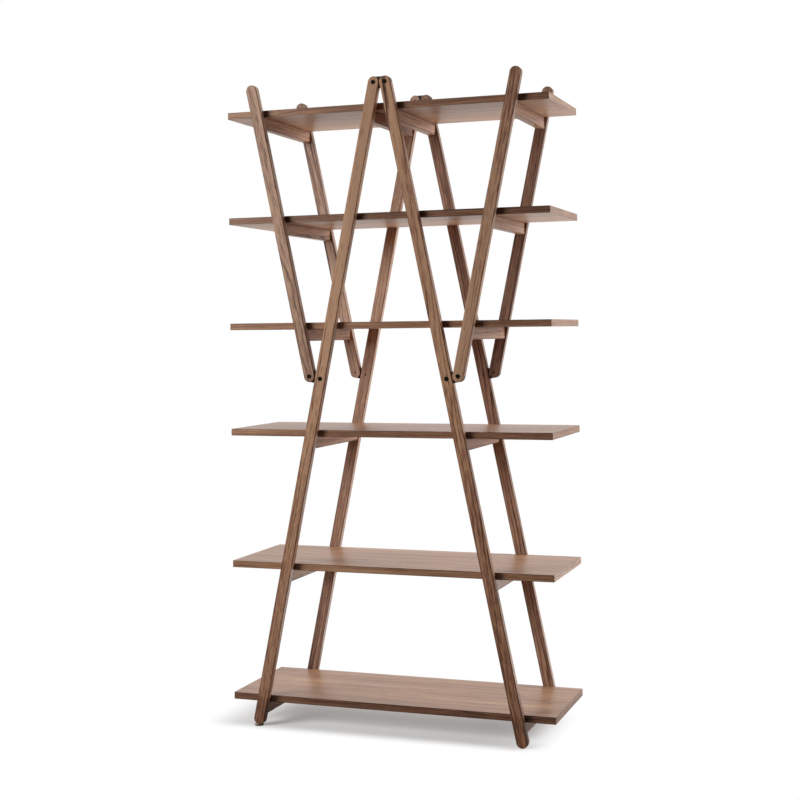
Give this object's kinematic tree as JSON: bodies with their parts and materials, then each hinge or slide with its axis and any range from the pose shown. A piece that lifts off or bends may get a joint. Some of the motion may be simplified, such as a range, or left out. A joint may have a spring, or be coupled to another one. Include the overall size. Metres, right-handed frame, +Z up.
{
  "type": "folding bookstand rack",
  "caption": "Folding bookstand rack: tall wooden frames hinged at the apex, side arms hinged on them, and loose flat shelves lying on cross rungs.",
  "frame": {"origin": "on the floor, in the middle of the rack's length and depth", "axes": "+X along the shelves to the right, +Y to the back, +Z up"},
  "size_m": [1, 0.401, 1.924],
  "materials": {
    "shelf_board": "walnut veneer with a satin lacquer, grain along the length",
    "frame_walnut": "solid walnut with a satin lacquer, grain along the member",
    "link_nylon": "black nylon, lightly textured",
    "bolt_steel": "blackened steel",
    "dowel_beech": "plain beech, glued in",
    "glide_steel": "bronzed steel, lightly brushed",
    "glide_pad": "black nylon pad"
  },
  "bodies": {
    "apex_links": {"apex_front_link": "link_nylon", "apex_back_link": "link_nylon"},
    "left_frame": {"left_front_leg": "frame_walnut", "left_back_leg": "frame_walnut", "left_leg_rung_1": "frame_walnut", "left_leg_rung_2": "frame_walnut", "left_leg_rung_3": "frame_walnut", "left_leg_rung_6": "frame_walnut", "left_front_link": "link_nylon", "left_back_link": "link_nylon", "left_leg_bolts": "bolt_steel", "left_leg_dowels": "dowel_beech", "foot_insert": "glide_steel"},
    "left_arm_frame": {"left_front_arm": "frame_walnut", "left_back_arm": "frame_walnut", "left_arm_rung_4": "frame_walnut", "left_arm_rung_5": "frame_walnut", "left_arm_rung_6": "frame_walnut", "left_arm_bolts": "bolt_steel", "left_arm_dowels": "dowel_beech"},
    "right_frame": {"right_front_leg": "frame_walnut", "right_back_leg": "frame_walnut", "right_leg_rung_1": "frame_walnut", "right_leg_rung_2": "frame_walnut", "right_leg_rung_3": "frame_walnut", "right_leg_rung_6": "frame_walnut", "right_front_link": "link_nylon", "right_back_link": "link_nylon", "right_leg_bolts": "bolt_steel", "right_leg_dowels": "dowel_beech"},
    "right_arm_frame": {"right_front_arm": "frame_walnut", "right_back_arm": "frame_walnut", "right_arm_rung_4": "frame_walnut", "right_arm_rung_5": "frame_walnut", "right_arm_rung_6": "frame_walnut", "right_arm_bolts": "bolt_steel", "right_arm_dowels": "dowel_beech"},
    "shelf_1_board": {"shelf_1": "shelf_board"},
    "shelf_2_board": {"shelf_2": "shelf_board"},
    "shelf_3_board": {"shelf_3": "shelf_board"},
    "shelf_4_board": {"shelf_4": "shelf_board"},
    "shelf_5_board": {"shelf_5": "shelf_board"},
    "shelf_6_board": {"shelf_6": "shelf_board"},
    "glide": {"foot_glide": "glide_steel", "foot_glide_pad": "glide_pad"}
  },
  "joints": [
    {"name": "left_fold", "type": "hinge", "parent": "apex_links", "child": "left_frame", "pos_m": [-0.01775, 0, 1.907], "axis": [0, -1, 0], "range_deg": [0, 11.63]},
    {"name": "right_fold", "type": "hinge", "parent": "apex_links", "child": "right_frame", "pos_m": [0.01775, 0, 1.907], "axis": [0, 1, 0], "range_deg": [0, 11.63]},
    {"name": "left_arm_fold", "type": "hinge", "parent": "left_frame", "child": "left_arm_frame", "pos_m": [-0.23067, 0, 1.04916], "axis": [0, 1, 0], "range_deg": [0, 23.4]},
    {"name": "right_arm_fold", "type": "hinge", "parent": "right_frame", "child": "right_arm_frame", "pos_m": [0.23067, 0, 1.04916], "axis": [0, -1, 0], "range_deg": [0, 23.4]},
    {"name": "shelf_1_slide", "type": "slide", "parent": "apex_links", "child": "shelf_1_board", "axis": [1, 0, 0.01], "range_m": [0, 1]},
    {"name": "shelf_2_slide", "type": "slide", "parent": "apex_links", "child": "shelf_2_board", "axis": [1, 0, 0.01], "range_m": [0, 1]},
    {"name": "shelf_3_slide", "type": "slide", "parent": "apex_links", "child": "shelf_3_board", "axis": [1, 0, 0.01], "range_m": [0, 1]},
    {"name": "shelf_4_slide", "type": "slide", "parent": "apex_links", "child": "shelf_4_board", "axis": [1, 0, 0.01], "range_m": [0, 1]},
    {"name": "shelf_5_slide", "type": "slide", "parent": "apex_links", "child": "shelf_5_board", "axis": [1, 0, 0.01], "range_m": [0, 1]},
    {"name": "shelf_6_slide", "type": "slide", "parent": "apex_links", "child": "shelf_6_board", "axis": [1, 0, 0.01], "range_m": [0, 1]},
    {"name": "glide_turn", "type": "hinge", "parent": "left_frame", "child": "glide", "pos_m": [-0.4105, -0.1875, 0], "axis": [0, 0, 1], "continuous": true}
  ],
  "couplings": [
    {"joint": "right_fold", "follows": "left_fold", "ratio": 1},
    {"joint": "left_arm_fold", "follows": "left_fold", "ratio": 2.0113},
    {"joint": "right_arm_fold", "follows": "left_fold", "ratio": 2.0113}
  ]
}
